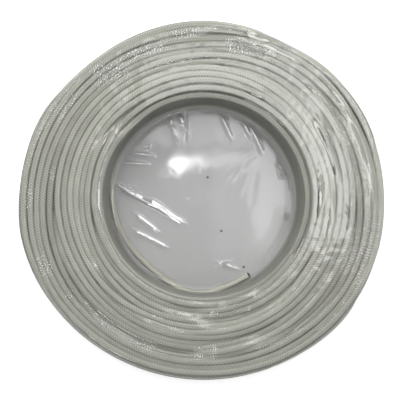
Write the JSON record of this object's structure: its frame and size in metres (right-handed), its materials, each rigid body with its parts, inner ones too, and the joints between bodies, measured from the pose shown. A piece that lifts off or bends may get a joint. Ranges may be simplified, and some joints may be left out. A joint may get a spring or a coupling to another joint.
{
  "type": "power cable coil",
  "caption": "Flat ring-shaped coil of thin braided power cable in clear shrink film, with its loose inner end lying low in the bore.",
  "frame": {"origin": "centre of the film's underside, on the coil's axis", "axes": "+Z up along the coil's axis; +X to the right and +Y up as the coil is seen from above, with the cut inner end in the half of -Y"},
  "size_m": [0.2332, 0.2332, 0.0564],
  "materials": {
    "braided_sheath": "light grey-white fibre braid, fine cross ribs, slight sheen",
    "braided_sheath_end": "cream-white fibre braid, fine cross ribs",
    "conductor": "fine tinned copper strands, set back and dark in the cut",
    "clear_film": "clear shrink film, glossy, wrinkled round the bore"
  },
  "bodies": {
    "root": {"cable_coil": "braided_sheath", "cable_inner_end": "braided_sheath_end", "conductor": "conductor", "shrink_film": "clear_film"}
  },
  "joints": []
}
